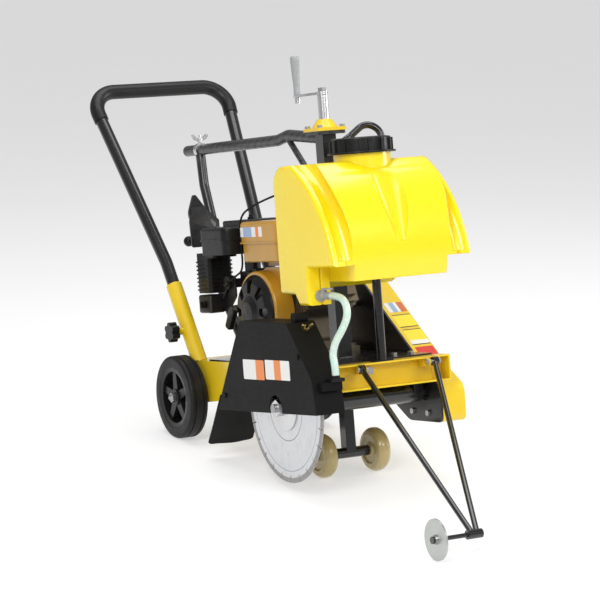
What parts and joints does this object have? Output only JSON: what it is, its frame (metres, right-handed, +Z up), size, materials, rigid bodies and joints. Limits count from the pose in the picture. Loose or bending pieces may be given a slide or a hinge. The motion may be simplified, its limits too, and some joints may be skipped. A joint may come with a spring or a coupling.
{
  "type": "walk-behind concrete saw",
  "caption": "Walk-behind floor saw: petrol engine, belt-driven diamond blade under a guard, water tank, crank-lowered front wheels, push handle and folding cutting guide.",
  "frame": {"origin": "middle of the bounding box on the floor", "axes": "+Z up, -Y towards the front (cutting guide), +X towards the belt cover, blade on the -X side"},
  "size_m": [0.468, 1.797, 0.965],
  "materials": {
    "yellow_paint": "gloss",
    "yellow_tank": "gloss",
    "gold_paint": "satin",
    "black_paint": "satin",
    "black_plastic": "matte",
    "black_rubber": "matte",
    "tyre": "matte",
    "tan_polyurethane": "satin",
    "bright_steel": "brushed",
    "grey_plastic": "satin",
    "clear_hose": "gloss",
    "cast_alloy": "cast",
    "cast_iron": "machined"
  },
  "bodies": {
    "chassis": {"air_cleaner": "black_plastic", "belt_back_plate": "black_paint", "belt_cover": "yellow_paint", "blade_guard": "black_paint", "blower_housing": "gold_paint", "carburettor": "cast_alloy", "column_flange": "yellow_paint", "column_tube": "black_paint", "deck_plate": "black_paint", "drive_belts": "black_rubber", "engine_block": "cast_alloy", "frame_bolts": "bright_steel", "front_channel": "yellow_paint", "fuel_tank": "gold_paint", "guard_flap": "black_rubber", "main_frame": "yellow_paint", "muffler": "cast_alloy", "rail_clamp": "bright_steel", "rear_axle": "bright_steel", "recoil_cover": "black_plastic", "screw_sleeve": "bright_steel", "shaft_housing": "black_paint", "tank_supports": "black_paint", "throttle_cable": "black_rubber", "top_rail": "black_paint", "water_fittings": "grey_plastic", "water_hose": "clear_hose", "water_tank": "yellow_tank"},
    "handle": {"handle_tube": "black_paint", "handle_grip": "black_plastic"},
    "knob_left": {"handle_knob_left": "black_plastic"},
    "knob_right": {"handle_knob_right": "black_plastic"},
    "wheel_rear_left": {"rear_wheel_left": "black_plastic", "rear_tyre_left": "tyre"},
    "wheel_rear_right": {"rear_wheel_right": "black_plastic", "rear_tyre_right": "tyre"},
    "leg": {"front_leg": "black_paint", "front_axle": "bright_steel"},
    "wheel_front_left": {"front_wheel_left": "tan_polyurethane"},
    "wheel_front_right": {"front_wheel_right": "tan_polyurethane"},
    "crank": {"lift_screw": "bright_steel", "crank_arm": "black_paint"},
    "crank_handle": {"crank_grip": "grey_plastic"},
    "blade_spindle": {"blade": "bright_steel", "blade_shaft": "bright_steel", "blade_flanges": "bright_steel", "driven_pulley": "cast_iron"},
    "engine_crank": {"crankshaft": "bright_steel", "drive_pulley": "cast_iron"},
    "pointer": {"pointer_arm": "black_paint"},
    "pointer_disc": {"pointer_wheel": "bright_steel"},
    "water_cap": {"tank_cap": "black_plastic"},
    "tap": {"valve_lever": "grey_plastic"},
    "guard_nut": {"guard_wing_nut": "bright_steel"},
    "rail_nut": {"rail_wing_nut": "bright_steel"},
    "starter_grip": {"recoil_grip": "black_plastic"},
    "petrol_cap": {"fuel_cap": "black_plastic"},
    "hand_lever": {"throttle_lever": "black_paint"},
    "panel_knob": {"post_knob": "black_plastic"},
    "stop_switch": {"engine_switch": "black_plastic"}
  },
  "joints": [
    {"name": "handle_height", "type": "slide", "parent": "chassis", "child": "handle", "axis": [0, 0.6451, 0.7641], "range_m": [-0.04, 0.08]},
    {"name": "knob_left_turn", "type": "hinge", "parent": "chassis", "child": "knob_left", "pos_m": [-0.137, 0.41468, 0.25808], "axis": [1, 0, 0], "range_deg": [-180, 180]},
    {"name": "knob_right_turn", "type": "hinge", "parent": "chassis", "child": "knob_right", "pos_m": [0.145, 0.41468, 0.25808], "axis": [1, 0, 0], "range_deg": [-180, 180]},
    {"name": "rear_left_roll", "type": "hinge", "parent": "chassis", "child": "wheel_rear_left", "pos_m": [-0.182, 0.36825, 0.103], "axis": [1, 0, 0], "continuous": true},
    {"name": "rear_right_roll", "type": "hinge", "parent": "chassis", "child": "wheel_rear_right", "pos_m": [0.19, 0.36825, 0.103], "axis": [1, 0, 0], "continuous": true},
    {"name": "leg_height", "type": "slide", "parent": "chassis", "child": "leg", "axis": [0, 0.1618, 0.9868], "range_m": [-0.0201, 0.1001]},
    {"name": "front_left_roll", "type": "hinge", "parent": "leg", "child": "wheel_front_left", "pos_m": [-0.0672, -0.14476, 0.052], "axis": [1, 0, 0], "continuous": true},
    {"name": "front_right_roll", "type": "hinge", "parent": "leg", "child": "wheel_front_right", "pos_m": [0.0752, -0.14476, 0.052], "axis": [1, 0, 0], "continuous": true},
    {"name": "crank_turn", "type": "hinge", "parent": "chassis", "child": "crank", "pos_m": [0.004, -0.00995, 0.87434], "axis": [0, 0.1618, 0.9868], "range_deg": [-3600, 720]},
    {"name": "crank_grip_spin", "type": "hinge", "parent": "crank", "child": "crank_handle", "pos_m": [0.004, 0.12114, 0.91365], "axis": [0, 0.1618, 0.9868], "continuous": true},
    {"name": "blade_spin", "type": "hinge", "parent": "chassis", "child": "blade_spindle", "pos_m": [-0.199, -0.20569, 0.19709], "axis": [1, 0, 0], "continuous": true},
    {"name": "engine_spin", "type": "hinge", "parent": "chassis", "child": "engine_crank", "pos_m": [0.004, 0.15964, 0.34493], "axis": [1, 0, 0], "continuous": true},
    {"name": "pointer_fold", "type": "hinge", "parent": "chassis", "child": "pointer", "pos_m": [0.004, -0.31418, 0.29189], "axis": [1, 0, 0], "range_deg": [-78, 20]},
    {"name": "pointer_disc_roll", "type": "hinge", "parent": "pointer", "child": "pointer_disc", "pos_m": [-0.194, -0.85376, 0.04604], "axis": [1, 0, 0], "continuous": true},
    {"name": "water_cap_turn", "type": "hinge", "parent": "chassis", "child": "water_cap", "pos_m": [0.004, -0.18958, 0.79232], "axis": [0, 0.1618, 0.9868], "range_deg": [0, 360]},
    {"name": "tap_turn", "type": "hinge", "parent": "chassis", "child": "tap", "pos_m": [-0.148, -0.28904, 0.48233], "axis": [0, 0.1618, 0.9868], "range_deg": [-90, 0]},
    {"name": "guard_nut_turn", "type": "hinge", "parent": "chassis", "child": "guard_nut", "pos_m": [-0.186, -0.26922, 0.38687], "axis": [0, -0.6684, 0.7438], "range_deg": [-180, 180]},
    {"name": "rail_nut_turn", "type": "hinge", "parent": "chassis", "child": "rail_nut", "pos_m": [0.004, 0.63264, 0.7082], "axis": [0, 0.1618, 0.9868], "range_deg": [-180, 180]},
    {"name": "starter_pull", "type": "slide", "parent": "chassis", "child": "starter_grip", "axis": [0, 0.9868, -0.1618], "range_m": [0, 0.08]},
    {"name": "petrol_cap_turn", "type": "hinge", "parent": "chassis", "child": "petrol_cap", "pos_m": [0.044, 0.18088, 0.57959], "axis": [0, 0.1618, 0.9868], "range_deg": [0, 90]},
    {"name": "throttle_tilt", "type": "hinge", "parent": "chassis", "child": "hand_lever", "pos_m": [-0.042, 0.55717, 0.52601], "axis": [0, -0.9868, 0.1618], "range_deg": [-35, 35]},
    {"name": "panel_knob_turn", "type": "hinge", "parent": "chassis", "child": "panel_knob", "pos_m": [-0.056, 0.56788, 0.45535], "axis": [0, -0.9868, 0.1618], "range_deg": [-180, 180]},
    {"name": "stop_switch_turn", "type": "hinge", "parent": "chassis", "child": "stop_switch", "pos_m": [-0.1, 0.40811, 0.32143], "axis": [1, 0, 0], "range_deg": [0, 60]}
  ],
  "couplings": [
    {"joint": "engine_spin", "follows": "blade_spin", "ratio": 1.0506},
    {"joint": "leg_height", "follows": "crank_turn", "m_per_rad": -0.0015915}
  ]
}
